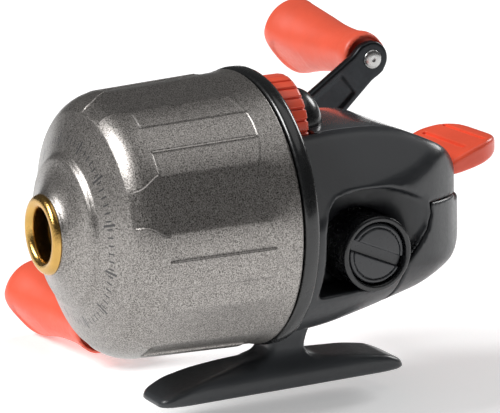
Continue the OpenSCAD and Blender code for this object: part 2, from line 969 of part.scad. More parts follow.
front_cover();
line_guide_ring();
body_ring();
deck_plate();
deck_screws();
gear_frame();
frame_screws();
rear_cover();
tail_cover();
top_panel();
left_boss();
right_boss();
side_cap();
reel_foot();
foot_screws();
spinner_head();
spinner_nut();
pickup_pin();
pin_spring();
centre_shaft();
shaft_clip();
shaft_spring();
pinion_gear();
front_bearing();
rear_bearing();
spool();
wound_line();
spool_clip();
drag_felt_washer();
drag_spring_washer();
drag_plate();
drag_cam_ring();
dial_shaft();
drag_dial();
drive_shaft();
drive_gear();
ratchet_wheel();
left_bush();
crank_bearing();
antireverse_pawl();
pawl_pin();
pawl_spring();
thumb_button();
button_pin();
button_spring();
crank_sleeve();
crank_arm();
crank_nut();
upper_knob();
lower_knob();
knob_pins();
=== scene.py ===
import json
import math

import bmesh
import bpy
import numpy as np
from mathutils import Matrix, Vector


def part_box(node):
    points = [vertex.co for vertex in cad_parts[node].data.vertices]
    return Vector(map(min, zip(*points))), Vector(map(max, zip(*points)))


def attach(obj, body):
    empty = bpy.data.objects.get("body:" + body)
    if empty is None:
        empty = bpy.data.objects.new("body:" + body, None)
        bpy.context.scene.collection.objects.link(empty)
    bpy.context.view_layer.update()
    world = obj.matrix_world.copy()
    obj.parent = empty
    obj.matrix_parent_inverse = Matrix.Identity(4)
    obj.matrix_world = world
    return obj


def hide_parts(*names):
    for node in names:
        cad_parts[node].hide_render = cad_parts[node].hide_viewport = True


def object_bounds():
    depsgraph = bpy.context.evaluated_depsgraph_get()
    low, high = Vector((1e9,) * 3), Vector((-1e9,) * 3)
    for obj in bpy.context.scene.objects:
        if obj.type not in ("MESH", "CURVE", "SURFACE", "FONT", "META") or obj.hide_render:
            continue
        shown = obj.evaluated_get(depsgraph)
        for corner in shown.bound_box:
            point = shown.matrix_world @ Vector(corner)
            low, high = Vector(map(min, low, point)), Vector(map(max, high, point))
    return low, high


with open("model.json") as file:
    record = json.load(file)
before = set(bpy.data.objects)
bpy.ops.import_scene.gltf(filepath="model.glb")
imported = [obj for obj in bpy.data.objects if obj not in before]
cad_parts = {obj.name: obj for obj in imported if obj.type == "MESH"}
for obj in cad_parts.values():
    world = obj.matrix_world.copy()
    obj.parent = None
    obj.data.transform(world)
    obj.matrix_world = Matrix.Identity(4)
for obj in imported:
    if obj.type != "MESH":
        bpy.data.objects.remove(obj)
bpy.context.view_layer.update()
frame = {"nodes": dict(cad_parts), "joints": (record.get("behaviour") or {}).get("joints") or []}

MM = 0.001

# ---------------------------------------------------------------------------
# Places, in millimetres, from the frame
# ---------------------------------------------------------------------------


def box_mm(node):
    """Lowest and highest corners of a CAD node, in millimetres."""
    low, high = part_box(node)
    return np.array(low) / MM, np.array(high) / MM


def joint(name):
    """The record of one joint."""
    return next(j for j in frame["joints"] if j["name"] == name)


def joint_place(name):
    """A point on a joint's axis, in millimetres."""
    return np.array(joint(name)["pos_m"]) / MM


AXIS_Z = joint_place("pinion_spin")[2]
CRANK = joint_place("crank_turn")
PIVOT = joint_place("thumb_press")
DIAL_Z = joint_place("drag_turn")[2]
COVER_LOW, COVER_HIGH = box_mm("front_cover")
RIM_Y = COVER_HIGH[1]
COVER_LEN = COVER_HIGH[1] - COVER_LOW[1]
COVER_R = (COVER_HIGH[0] - COVER_LOW[0]) / 2
RING_LOW, RING_HIGH = box_mm("body_ring")
RING_R = (RING_HIGH[0] - RING_LOW[0]) / 2
RING_BACK_Y = RING_HIGH[1]
BOSS_X = box_mm("left_boss")[1][0]
BOSS_R = (box_mm("left_boss")[1][1] - box_mm("left_boss")[0][1]) / 2


# ---------------------------------------------------------------------------
# Mesh helpers
# ---------------------------------------------------------------------------


def add_object(name, verts, faces, smooth=True):
    """A mesh object from vertices in millimetres."""
    mesh = bpy.data.meshes.new(name)
    points = np.asarray(verts, float) * MM
    mesh.from_pydata([tuple(p) for p in points], [], [tuple(f) for f in faces])
    mesh.validate()
    mesh.update()
    if smooth:
        mesh.shade_smooth()
    obj = bpy.data.objects.new(name, mesh)
    bpy.context.scene.collection.objects.link(obj)
    return obj


def finish_piece(obj, material, body, slot, *nodes):
    """Gives a piece its material and body, and hides the nodes it stands for; its slot is not used.
    """
    obj.data.materials.clear()
    obj.data.materials.append(material)
    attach(obj, body)
    if nodes:
        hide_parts(*nodes)
    return obj


def surface_net(field, low, high, step, settle=3):
    """The zero surface of a distance field, as vertices and quads.

    Each grid cell that the surface crosses gets one vertex, which then slides
    along the field's slope until it lies on the surface.
    """
    axes = [np.arange(a - 1.5 * step, b + 1.5 * step, step) for a, b in zip(low, high)]
    grid = np.stack(np.meshgrid(*axes, indexing="ij"), -1)
    value = field(grid)
    inside = value < 0
    cells = tuple(n - 1 for n in value.shape)
    corners = [inside[i:i + cells[0], j:j + cells[1], k:k + cells[2]]
               for i in (0, 1) for j in (0, 1) for k in (0, 1)]
    count = sum(c.astype(np.int8) for c in corners)
    mixed = (count > 0) & (count < 8)
    index = np.full(cells, -1)
    index[mixed] = np.arange(mixed.sum())
    place = np.argwhere(mixed)
    total = np.zeros((len(place), 3))
    hits = np.zeros(len(place))
    offsets = np.array([[i, j, k] for i in (0, 1) for j in (0, 1) for k in (0, 1)])
    for a in offsets:
        for d in range(3):
            if a[d]:
                continue
            b = a.copy()
            b[d] = 1
            va = value[tuple((place + a).T)]
            vb = value[tuple((place + b).T)]
            cross = (va < 0) != (vb < 0)
            t = np.where(cross, va / np.where(cross, va - vb, 1), 0)
            point = a + (b - a) * t[:, None]
            total += np.where(cross[:, None], point, 0)
            hits += cross
    verts = place + total / hits[:, None]
    origin = np.array([a[0] for a in axes])
    verts = origin + verts * step

    faces = []
    for d in range(3):
        u, v = (d + 1) % 3, (d + 2) % 3
        ahead = [slice(None)] * 3
        here = [slice(None)] * 3
        here[d] = slice(0, -1)
        ahead[d] = slice(1, None)
        change = inside[tuple(here)] != inside[tuple(ahead)]
        edge = np.argwhere(change)
        keep = (edge[:, u] > 0) & (edge[:, v] > 0)
        keep &= (edge[:, u] < cells[u]) & (edge[:, v] < cells[v])
        edge = edge[keep]
        starts_inside = inside[tuple(edge.T)]
        ring = []
        for du, dv in ((-1, -1), (0, -1), (0, 0), (-1, 0)):
            cell = edge.copy()
            cell[:, u] += du
            cell[:, v] += dv
            ring.append(index[tuple(cell.T)])
        quad = np.stack(ring, 1)
        quad[~starts_inside] = quad[~starts_inside][:, ::-1]
        faces.append(quad)
    faces = np.concatenate(faces)

    h = step * 0.1
    for _ in range(settle):
        f = field(verts)
        slope = np.stack([
            (field(verts + h * e) - field(verts - h * e)) / (2 * h) for e in np.eye(3)
        ], -1)
        length = np.maximum((slope ** 2).sum(-1), 0.2)
        move = -f[:, None] * slope / length[:, None]
        verts = verts + np.clip(move, -0.4 * step, 0.4 * step)
    return verts, faces


def from_field(name, field, low, high, step):
    """A piece whose surface is a field's zero surface."""
    coarse = 1.0
    verts, faces = surface_net(field, low, high, step * coarse)
    return add_object(name, verts, faces)


def turned(name, profile, axis_y0, z0=None, count=128, warp=None):
    """A closed ring of a profile turned about a line along Y.

    The profile is a closed loop of (radius, y) in millimetres, in order.
    """
    z0 = AXIS_Z if z0 is None else z0
    profile = np.asarray(profile, float)
    n = len(profile)
    verts = []
    for k in range(count):
        a = 2 * math.pi * k / count
        for i, (r, y) in enumerate(profile):
            if warp:
                r, y = warp(r, y, a, i)
            verts.append((r * math.cos(a), axis_y0 + y, z0 + r * math.sin(a)))
    faces = []
    for k in range(count):
        m = (k + 1) % count
        for i in range(n):
            j = (i + 1) % n
            faces.append((k * n + i, k * n + j, m * n + j, m * n + i))
    obj = add_object(name, verts, faces)
    recalc(obj)
    return obj


def recalc(obj):
    """Points every face outwards."""
    mesh = bmesh.new()
    mesh.from_mesh(obj.data)
    bmesh.ops.recalc_face_normals(mesh, faces=mesh.faces)
    mesh.to_mesh(obj.data)
    mesh.free()


def rounded(points, radius, steps=5):
    """A closed outline with every corner rounded by up to radius."""
    points = [np.array(p, float) for p in points]
    out = []
    n = len(points)
    for i in range(n):
        before, here, after = points[i - 1], points[i], points[(i + 1) % n]
        a, b = before - here, after - here
        la, lb = np.linalg.norm(a), np.linalg.norm(b)
        cut = min(radius, 0.45 * la, 0.45 * lb)
        start, end = here + a / la * cut, here + b / lb * cut
        for t in np.linspace(0, 1, steps):
            out.append((1 - t) ** 2 * start + 2 * t * (1 - t) * here + t ** 2 * end)
    return np.array(out)


# ---------------------------------------------------------------------------
# Distance fields
# ---------------------------------------------------------------------------


def smooth_max(a, b, k):
    """The larger of two fields, with the crease rounded by about k."""
    h = np.clip(0.5 - 0.5 * (b - a) / k, 0, 1)
    return b + (a - b) * h + k * h * (1 - h)


def smooth_min(a, b, k):
    """The smaller of two fields, with the crease filled by about k."""
    return -smooth_max(-a, -b, k)


def outline(u, v, points):
    """Signed distance to a closed outline, negative inside."""
    points = np.asarray(points, float)
    best = np.full(np.shape(u), 1e9)
    inside = np.zeros(np.shape(u), bool)
    for p, q in zip(points, np.roll(points, -1, 0)):
        e = q - p
        wu, wv = u - p[0], v - p[1]
        t = np.clip((wu * e[0] + wv * e[1]) / (e @ e), 0, 1)
        du, dv = wu - t * e[0], wv - t * e[1]
        best = np.minimum(best, du * du + dv * dv)
        crosses = (p[1] > v) != (q[1] > v)
        if abs(e[1]) > 1e-9:
            side = u < p[0] + (v - p[1]) / e[1] * e[0]
            inside ^= crosses & side
    return np.where(inside, -1, 1) * np.sqrt(best)


def flat_outline(P, first, second, points):
    """outline() of a shape drawn in two of the axes.

    On a grid the drawing is worked out once, on the plane of those two axes.
    """
    if P.ndim == 4:
        cut = [0, 0, 0]
        cut[first] = slice(None)
        cut[second] = slice(None)
        plane = P[tuple(cut)]
        value = outline(plane[..., first], plane[..., second], points)
        third = 3 - first - second
        return np.broadcast_to(np.expand_dims(value, third), P.shape[:3])
    return outline(P[..., first], P[..., second], points)


def round_bar(P, axis, centre, radius):
    """An endless round bar along one row axis."""
    u, v = [i for i in range(3) if i != axis]
    return np.hypot(P[..., u] - centre[0], P[..., v] - centre[1]) - radius


def slab(P, axis, low, high):
    """The space between two planes across one row axis."""
    middle, half = (low + high) / 2, (high - low) / 2
    return np.abs(P[..., axis] - middle) - half


# ---------------------------------------------------------------------------
# Materials
# ---------------------------------------------------------------------------


class Nodes:
    """A new material and short calls that add shader nodes to it."""

    def __init__(self, name):
        self.material = bpy.data.materials.new(name)
        self.material.use_nodes = True
        self.tree = self.material.node_tree
        self.shader = self.tree.nodes["Principled BSDF"]
        self.place = self.add("ShaderNodeTexCoord").outputs["Object"]

    def add(self, kind, **settings):
        node = self.tree.nodes.new(kind)
        for key, value in settings.items():
            setattr(node, key, value)
        return node

    def link(self, source, target):
        self.tree.links.new(source, target)

    def noise(self, scale, detail=3, rough=0.5, place=None):
        """Noise with scale in features per millimetre."""
        node = self.add("ShaderNodeTexNoise")
        node.inputs["Scale"].default_value = scale / MM
        node.inputs["Detail"].default_value = detail
        node.inputs["Roughness"].default_value = rough
        self.link(place or self.place, node.inputs["Vector"])
        return node.outputs["Fac"]

    def ramp(self, source, low, high, a=0.0, b=1.0):
        """Maps source from low..high to a..b."""
        node = self.add("ShaderNodeMapRange")
        node.inputs["From Min"].default_value = low
        node.inputs["From Max"].default_value = high
        node.inputs["To Min"].default_value = a
        node.inputs["To Max"].default_value = b
        self.link(source, node.inputs["Value"])
        return node.outputs["Result"]

    def math(self, operation, a, b=None):
        node = self.add("ShaderNodeMath", operation=operation)
        for socket, value in zip(node.inputs, (a, b)):
            if value is None:
                continue
            if hasattr(value, "is_linked"):
                self.link(value, socket)
            else:
                socket.default_value = value
        return node.outputs[0]

    def mix(self, factor, a, b):
        """Mixes two colours; each is a tuple or a socket."""
        node = self.add("ShaderNodeMix", data_type="RGBA")
        sockets = [s for s in node.inputs if s.type == "RGBA"]
        for socket, value in zip(sockets, (a, b)):
            if hasattr(value, "is_linked"):
                self.link(value, socket)
            else:
                socket.default_value = (*value, 1)
        self.link(factor, node.inputs[0])
        return next(s for s in node.outputs if s.type == "RGBA")

    def bump(self, height, distance, strength=1.0):
        """A bump of distance millimetres."""
        node = self.add("ShaderNodeBump")
        node.inputs["Distance"].default_value = distance * MM
        node.inputs["Strength"].default_value = strength
        self.link(height, node.inputs["Height"])
        self.link(node.outputs["Normal"], self.shader.inputs["Normal"])

    def edges(self, radius):
        """How far a point lies on a convex edge, from 0 to 1."""
        bevel = self.add("ShaderNodeBevel", samples=6)
        bevel.inputs["Radius"].default_value = radius * MM
        shape = self.add("ShaderNodeNewGeometry")
        dot = self.add("ShaderNodeVectorMath", operation="DOT_PRODUCT")
        self.link(bevel.outputs["Normal"], dot.inputs[0])
        self.link(shape.outputs["Normal"], dot.inputs[1])
        return self.ramp(dot.outputs["Value"], 0.995, 0.93)

    def base(self, colour):
        self.set("Base Color", colour)

    def set(self, name, value):
        socket = self.shader.inputs[name]
        if hasattr(value, "is_linked"):
            self.link(value, socket)
        elif isinstance(value, tuple):
            socket.default_value = (*value, 1)
        else:
            socket.default_value = value


def plastic(name, colour, rough, grain, grain_scale, edge_highlight=0.25, coat=0.0):
    """Moulded plastic: fine grain, uneven gloss, and a painted highlight that lightens convex edges
    in patches.
    """
    n = Nodes(name)
    cloud = n.noise(0.06, 4)
    dark = tuple(c * 0.86 for c in colour)
    tone = n.mix(n.ramp(cloud, 0.35, 0.65), dark, colour)
    # Painted highlight: convex edges are lightened in patches, standing in for the light they
    # catch.
    light = tuple(min(1, c * (1 + edge_highlight) + 0.02 * edge_highlight) for c in colour)
    edge_highlight_mask = n.math("MULTIPLY", n.edges(0.5), n.ramp(n.noise(0.5), 0.35, 0.6))
    n.base(n.mix(edge_highlight_mask, tone, light))
    gloss = n.ramp(n.noise(0.9, 5), 0.3, 0.7, rough - 0.05, rough + 0.06)
    n.set("Roughness", gloss)
    n.set("Coat Weight", coat)
    n.set("Coat Roughness", 0.12)
    n.bump(n.noise(grain_scale, 4, 0.6), grain)
    return n.material


def metal(name, colour, rough, brushed=0.0, turned_lines=None):
    """Bare metal with fine scratches, and turning marks round Y where asked."""
    n = Nodes(name)
    cloud = n.noise(0.15, 4)
    dull = tuple(c * 0.8 for c in colour)
    n.base(n.mix(n.ramp(cloud, 0.3, 0.7), dull, colour))
    n.set("Metallic", 1.0)
    n.set("Roughness", n.ramp(n.noise(1.6, 5), 0.3, 0.7, rough - 0.05, rough + 0.08))
    height = n.noise(2.5, 4)
    if turned_lines:
        wave = n.add("ShaderNodeTexWave", wave_type="RINGS", rings_direction=turned_lines)
        wave.inputs["Scale"].default_value = 1.2 / MM
        wave.inputs["Distortion"].default_value = 1.5
        n.link(n.place, wave.inputs["Vector"])
        height = wave.outputs["Fac"]
    n.bump(height, 0.012 + brushed)
    return n.material


def centred(n, y=0.0, z=None):
    """Object coordinates measured from a line along Y, as separate x, y, z in mm."""
    move = n.add("ShaderNodeVectorMath", operation="SUBTRACT")
    move.inputs[1].default_value = (0, y * MM, (AXIS_Z if z is None else z) * MM)
    n.link(n.place, move.inputs[0])
    grow = n.add("ShaderNodeVectorMath", operation="SCALE")
    grow.inputs["Scale"].default_value = 1 / MM
    n.link(move.outputs["Vector"], grow.inputs[0])
    split = n.add("ShaderNodeSeparateXYZ")
    n.link(grow.outputs["Vector"], split.inputs[0])
    return split.outputs[0], split.outputs[1], split.outputs[2]


def between(n, value, low, high, soft):
    """1 where value lies between low and high, with soft ends."""
    up = n.ramp(value, low - soft, low + soft)
    down = n.ramp(value, high - soft, high + soft, 1.0, 0.0)
    return n.math("MULTIPLY", up, down)


def cover_paint():
    """Grey metallic paint with light and dark fleck, a painted highlight on convex edges, and a
    printed ring of ticks.
    """
    n = Nodes("gunmetal_fleck")
    fleck = n.noise(3.6, 2, 0.6)
    coarse = n.noise(0.9, 4, 0.6)
    base = n.mix(n.ramp(fleck, 0.37, 0.63), (0.095, 0.087, 0.081), (0.56, 0.53, 0.5))
    base = n.mix(n.ramp(coarse, 0.3, 0.75, 0.0, 0.55), base, (0.24, 0.225, 0.212))
    # Painted highlight: convex edges are mixed towards light grey in patches, standing in for the
    # light they catch.
    painted_edge_highlight = n.math("MULTIPLY", n.edges(0.7), n.ramp(n.noise(0.35), 0.4, 0.65, 0.0, 0.8))
    base = n.mix(painted_edge_highlight, base, (0.62, 0.6, 0.58))

    x, _, z = centred(n)
    radius = n.math("SQRT", n.math("ADD", n.math("POWER", x, 2.0), n.math("POWER", z, 2.0)))
    angle = n.math("DIVIDE", n.math("ARCTAN2", z, x), 2 * math.pi)
    mark = printed_ring(n, radius, angle)
    base = n.mix(n.math("MULTIPLY", mark, 0.92), base, (0.03, 0.03, 0.032))
    n.base(base)
    n.set("Metallic", n.math("MULTIPLY", n.ramp(mark, 0, 1, 1, 0), 0.88))
    n.set("Roughness", n.ramp(fleck, 0.3, 0.7, 0.27, 0.42))
    n.set("Coat Weight", 0.25)
    n.set("Coat Roughness", 0.22)
    n.bump(fleck, 0.03)
    return n.material


def printed_ring(n, radius, angle):
    """A plain scale of short and long ticks, like the marks on a dial."""
    def bars(count, width, low, high):
        turn = n.math("FRACT", n.math("MULTIPLY", angle, count))
        off = n.math("ABSOLUTE", n.math("SUBTRACT", turn, 0.5))
        thin = n.ramp(off, width, width * 1.35, 1.0, 0.0)
        return n.math("MULTIPLY", thin, between(n, radius, low, high, 0.07))

    short = bars(72, 0.085, 19.8, 21.2)
    long = bars(12, 0.022, 19.0, 21.9)
    return n.math("MAXIMUM", short, long)


COVER = cover_paint()
RING_BLACK = plastic("ring_black", (0.007, 0.0075, 0.008), 0.24, 0.01, 1.2, 0.5, 0.5)
SHELL_BLACK = plastic("shell_black", (0.022, 0.024, 0.027), 0.36, 0.025, 1.6, 0.6, 0.15)
PANEL_GREY = plastic("panel_grey", (0.055, 0.058, 0.064), 0.24, 0.008, 1.0, 0.4, 0.8)
BOSS_BLACK = plastic("boss_black", (0.009, 0.0095, 0.011), 0.28, 0.012, 1.4, 0.6, 0.3)
CAP_BLACK = plastic("cap_black", (0.03, 0.032, 0.036), 0.3, 0.014, 1.5, 0.6, 0.3)
FOOT_BLACK = plastic("foot_black", (0.042, 0.046, 0.051), 0.36, 0.03, 1.3, 0.6, 0.15)
CORAL = plastic("coral_plastic", (0.90, 0.10, 0.045), 0.34, 0.02, 1.5, 0.12, 0.1)
CORAL_SOFT = plastic("coral_soft", (0.90, 0.12, 0.06), 0.42, 0.02, 1.5, 0.1)
ARM_BLACK = metal("arm_black", (0.045, 0.048, 0.052), 0.34, 0.01)
GOLD = metal("gold_metal", (0.72, 0.44, 0.13), 0.2, 0.0, "Y")
STEEL = metal("steel", (0.62, 0.62, 0.61), 0.26)
ALLOY = metal("alloy", (0.50, 0.505, 0.51), 0.36, 0.01, "Y")
BRASS = metal("brass", (0.66, 0.47, 0.2), 0.3)


def line_material():
    """Clear monofilament wound in fine close turns."""
    n = Nodes("clear_line")
    n.base(n.mix(n.noise(0.8), (0.55, 0.6, 0.56), (0.78, 0.82, 0.79)))
    n.set("Roughness", n.ramp(n.noise(1.5), 0.3, 0.7, 0.2, 0.35))
    n.set("Subsurface Weight", 0.15)
    wave = n.add("ShaderNodeTexWave", wave_type="BANDS", bands_direction="Y")
    wave.inputs["Scale"].default_value = 1.1 / MM
    wave.inputs["Distortion"].default_value = 0.6
    n.link(n.place, wave.inputs["Vector"])
    n.bump(wave.outputs["Fac"], 0.12)
    return n.material


def felt_material():
    """Pressed felt."""
    n = Nodes("felt")
    n.base(n.mix(n.noise(3.0, 5), (0.09, 0.05, 0.03), (0.2, 0.12, 0.08)))
    n.set("Roughness", n.ramp(n.noise(2.0), 0.3, 0.7, 0.85, 0.97))
    n.set("Sheen Weight", 0.3)
    n.bump(n.noise(4.0, 5, 0.7), 0.1)
    return n.material


# ---------------------------------------------------------------------------
# Front cover and guide ring
# ---------------------------------------------------------------------------


def step(x, low, high):
    """Runs smoothly from 0 at low to 1 at high."""
    t = np.clip((x - low) / (high - low), 0, 1)
    return t * t * (3 - 2 * t)


# Grip lands round the barrel: how many, where the first lies, and their half widths and
# those of the pads on them, in degrees
LANDS = 6
LAND_TURN = 50
LAND_HALF = 16.8
PAD_HALF = 6.2
SECTOR_HALF = 30
# The barrel loses BARREL_TAPER of radius over BARREL_LEN
BARREL_TAPER = 1.3
BARREL_LEN = 32
BARREL_STATIONS = [0.9, 2, 3.2, 4.2, 5.0, 5.5, 5.85, 6.2, 6.55, 6.95, 7.6, 8.9, 11, 13.5, 16.5,
                   19.5, 22.5, 25.5, 28, 29.8, 30.8, 31.4]
# How far the recess lies below a land at the land's edge
EDGE_DROP = 0.24


def barrel_radius(h):
    """Radius over the lands, h forward of the rim."""
    return COVER_R - BARREL_TAPER * h / BARREL_LEN


def arc_shift(off):
    """How far forward the curved rear end of a land lies, off degrees from its middle."""
    return 1.9 * min(off / LAND_HALF, 1) ** 2


def cover_outline():
    """Outside of the cover as (distance forward of the rim, radius)."""
    tip = COVER_LEN
    barrel = [(h, barrel_radius(h)) for h in BARREL_STATIONS]
    shoulder = [(31.75, 30.21), (31.95, 30.2), (32.15, 30.14), (32.6, 30.02), (33.4, 29.82),
                (34.3, 29.55), (35.2, 29.17), (36.0, 28.75), (36.8, 28.24), (37.5, 27.66),
                (38.1, 27.02), (38.45, 26.6), (38.62, 26.4), (38.74, 26.12)]
    cone = [(38.95, 25.65), (39.4, 24.7), (40.5, 22.3), (41.6, 19.95), (42.1, 18.85)]
    nose = [(42.4, 18.2), (42.6, 17.78), (42.85, 17.46), (43.25, 17.2), (43.65, 16.9),
            (43.95, 16.5), (44.15, 15.95), (44.35, 15.2), (44.9, 13.7), (45.6, 12.1),
            (46.3, 10.8), (46.8, 10.0), (47.2, 9.55), (47.6, 9.3), (tip - 0.12, 9.1),
            (tip, 8.6)]
    return [(0, COVER_R - 0.45), (0.35, COVER_R - 0.08)] + barrel + shoulder + cone + nose


def land_flare(h):
    """Degrees by which a land's corners spread over the shoulder."""
    return 5.0 * step(h, 31.4, 36.6)


def grip_depth(off, h):
    """How far the surface lies below a land's pad, off degrees from the land's middle.

    Between lands the recess is flat, so its depth follows a chord of the barrel.
    """
    half = LAND_HALF + land_flare(h)
    beside = step(off, half - 0.2, half + 0.2)
    on_shoulder = 1 - step(h, 37.2, 38.7)
    to_rim = 0.3 + 0.7 * step(h, 1.0, 10.0)
    to_edge = math.radians(SECTOR_HALF - half)
    to_point = math.radians(SECTOR_HALF - max(off, half))
    flat = COVER_R - (COVER_R - EDGE_DROP) * (math.cos(to_edge) / math.cos(to_point))
    recess = flat * beside * on_shoulder * to_rim
    rear = 6.2 + arc_shift(off)
    behind = 0.38 * (1 - step(h, rear - 0.35, rear + 0.45))
    pad = 0.38 * step(off, PAD_HALF - 0.3, PAD_HALF + 0.5) * (1 - step(h, 31.2, 32.2))
    pad *= step(h, rear - 0.35, rear + 0.45)
    return max(recess, behind, pad) * step(h, 0.2, 2.4)


def cover_columns(h):
    """Angles of the mesh columns at a station; they crowd along the lands' edges."""
    spread = [0, 2.2, 4.4, 5.6, 5.95, 6.2, 6.45, 6.8, 7.8, 10, 12.5, 15, 16.1, 16.5, 16.8,
              17.1, 17.4, 18.0, 20, 22.5, 25, 27.5]
    still = 7.8
    flare = land_flare(h)
    half = []
    for off in spread:
        if off > still:
            near = (off - still) / (LAND_HALF - still)
            far = (SECTOR_HALF - off) / (SECTOR_HALF - LAND_HALF)
            off = off + flare * min(near, far)
        half.append(off)
    one = [-off for off in half[:0:-1]] + half + [SECTOR_HALF]
    return [(LAND_TURN + 360 / LANDS * k + off, abs(off)) for k in range(LANDS) for off in one]


def front_cover_piece():
    """The fluted cover: its outline and its lining as rows of points, joined into quads."""
    outer = cover_outline()
    inner = [(COVER_LEN, 7.75), (COVER_LEN - 0.4, 7.5), (COVER_LEN - 3.4, 7.5),
             (COVER_LEN - 3.6, 9.0), (42.6, 14.6), (40.8, 17.0), (36.4, 25.3), (34.6, 27.0),
             (31.5, 28.1), (20, 28.6), (4, 29.3), (0, 29.35)]
    rows = outer + inner
    verts = []
    for i, (h, r) in enumerate(rows):
        columns = cover_columns(h if i < len(outer) else 0)
        for turn, off in columns:
            station, radius = h, r
            if 0 < i < len(outer):
                bend = step(h, 2, 5.4) * (1 - step(h, 7.35, 13.5))
                station = h + arc_shift(off) * bend
                if BARREL_STATIONS[0] <= h <= BARREL_STATIONS[-1]:
                    radius = barrel_radius(station)
                radius -= float(grip_depth(off, station))
            a = math.radians(turn)
            verts.append((radius * math.cos(a), RIM_Y - station,
                          AXIS_Z + radius * math.sin(a)))
    count = len(cover_columns(0))
    faces = []
    for i in range(len(rows)):
        j = (i + 1) % len(rows)
        for k in range(count):
            m = (k + 1) % count
            faces.append((i * count + k, j * count + k, j * count + m, i * count + m))
    obj = add_object("cover_shell", verts, faces)
    recalc(obj)
    return finish_piece(obj, COVER, "cover", "gunmetal_paint", "front_cover")


def guide_ring_piece():
    """The smooth ring in the nose, with a half-round lip in front of a short tube."""
    middle, lip_r = 7.5, 1.57
    lip = [(middle + lip_r * math.cos(t), lip_r * math.sin(t))
           for t in np.linspace(0, math.radians(180), 18)]
    profile = [(r, -h) for r, h in lip]
    profile += [(5.95, 1.0), (5.9, 3.0), (6.1, 4.0), (7.4, 4.0), (7.4, 0.3), (8.2, 0.3)]
    obj = turned("guide_ring", profile, RIM_Y - COVER_LEN, count=96)
    return finish_piece(obj, GOLD, "cover", "gold_metal", "line_guide_ring")


front_cover_piece()
guide_ring_piece()


# ---------------------------------------------------------------------------
# Ring behind the cover
# ---------------------------------------------------------------------------


def body_ring_piece():
    """The black ring, its thin bright front lip, and the thread spigot inside the cover."""
    front = RIM_Y + 0.3
    thread = [(29.0 if i % 2 else 28.55, front - 0.8 - 0.41 * i) for i in range(11)]
    profile = [(27.5, RING_BACK_Y), (RING_R - 0.9, RING_BACK_Y), (RING_R - 0.3, RING_BACK_Y - 0.35),
               (RING_R, RING_BACK_Y - 1.0), (RING_R, front + 1.2), (RING_R - 0.12, front + 0.6),
               (RING_R - 0.5, front + 0.15), (RING_R - 1.0, front), (29.6, front)]
    profile += thread
    profile += [(28.4, RIM_Y - 5.0), (27.5, RIM_Y - 5.0)]
    obj = turned("body_ring_shell", profile, 0, count=160)
    return obj


def body_ring_wall():
    """The wall across the back of the ring, open in the middle for the gears."""
    y0, y1 = RING_BACK_Y - 1.6, RING_BACK_Y

    def field(P):
        r = np.hypot(P[..., 0], P[..., 2] - AXIS_Z)
        disc = np.maximum(r - 27.6, slab(P, 1, y0, y1))
        middle = (20 + 59) / 2
        hole = np.maximum(np.abs(P[..., 0]) - 24, np.abs(P[..., 2] - middle) - 19.5)
        shaft = np.hypot(P[..., 0], P[..., 2] - DIAL_Z) - 2.4
        return np.maximum(smooth_max(disc, -hole, 0.6), -shaft)

    return from_field("ring_wall", field, (-28, y0, 15), (28, y1, 71), 0.55)


finish_piece(body_ring_piece(), RING_BLACK, "housing", "black_satin", "body_ring")
finish_piece(body_ring_wall(), SHELL_BLACK, "housing", "black_satin")


# ---------------------------------------------------------------------------
# Housing
# ---------------------------------------------------------------------------

FRONT_Y = RING_BACK_Y
BUTTON_WELL_Y = 35.4
BUTTON_WELL_Z = 41
TAIL_FLOOR_Z = 39.2
TUBE_R = 30.4
SHELL_WALL = 1.9
# The floor of a flank's pocket, how far it rises to the rear, and the wall behind it
POCKET_FLOOR = 13.7
POCKET_RISE = 7.4
CUP_FLOOR = 12
# Outlines in y and z, but the plan in x and y, the shoulder in x and z, and the belly as
# radius and y
SIDE_OUTLINE = rounded([
    (-9, 60.3), (10, 61.6), (18, 61.4), (25, 60), (32, 57), (38, 53.8), (42.6, 50),
    (45.6, 45), (47, 39), (46.8, 33), (44.6, 27.4), (40, 22.4), (33, 19), (19, 15.8),
    (8, 13.6), (-9, 12.2),
], 3)
PLAN_HALF = [(30.5, -5), (29.4, 0), (26.6, 8), (25, 15), (23.2, 25), (20.4, 32),
             (16.6, 38), (11, 43), (5.4, 46.2)]
PLAN_OUTLINE = rounded([(31.5, -9)] + PLAN_HALF + [(-x, y) for x, y in PLAN_HALF[::-1]]
                       + [(-31.5, -9)], 3)
SHOULDER_HALF = [(9, 19), (13.5, 18.2), (25.6, 5), (31, 0), (31, -31)]
SHOULDER_OUTLINE = rounded([(x, z + AXIS_Z) for x, z in SHOULDER_HALF]
                           + [(-x, z + AXIS_Z) for x, z in SHOULDER_HALF[::-1]], 3.5)
POCKET = [(-1, 26), (-1, 42), (0.6, 46), (4, 48.3), (10.3, 49.1), (17.8, 48.7), (23, 46.9),
          (28.4, 44), (29.4, 41), (28, 37.6), (24.4, 33.6), (22, 31), (14.5, 34), (13, 26.2)]
TAIL_EDGE = [(60, 41.4), (29.8, 43.4), (30.3, 40.9), (28.9, 37.3), (26.6, 34.8), (25.2, 33.4),
             (22.6, 30), (22.6, 5), (60, 5)]
BELLY = rounded([(-30, -14), (31, -14), (31, -5), (29.4, 8), (27.2, 19), (24, 33), (20.6, 40),
                 (15.6, 44.6), (10, 46.7), (4, 47), (-30, 47)], 3)


def housing_outer(P):
    """The outside of the housing before any openings."""
    side = flat_outline(P, 1, 2, SIDE_OUTLINE)
    plan = flat_outline(P, 0, 1, PLAN_OUTLINE)
    shoulder = flat_outline(P, 0, 2, SHOULDER_OUTLINE)
    tube = np.hypot(P[..., 0], P[..., 2] - AXIS_Z) - TUBE_R
    whole = smooth_max(smooth_max(side, plan, 3.0), shoulder, 2.2)
    whole = smooth_max(whole, tube, 1.2)
    below = np.hypot(P[..., 0], np.minimum(P[..., 2] - AXIS_Z, 0))
    whole = smooth_max(whole, outline(below, P[..., 1], BELLY), 1.4)
    return np.maximum(whole, FRONT_Y - P[..., 1])


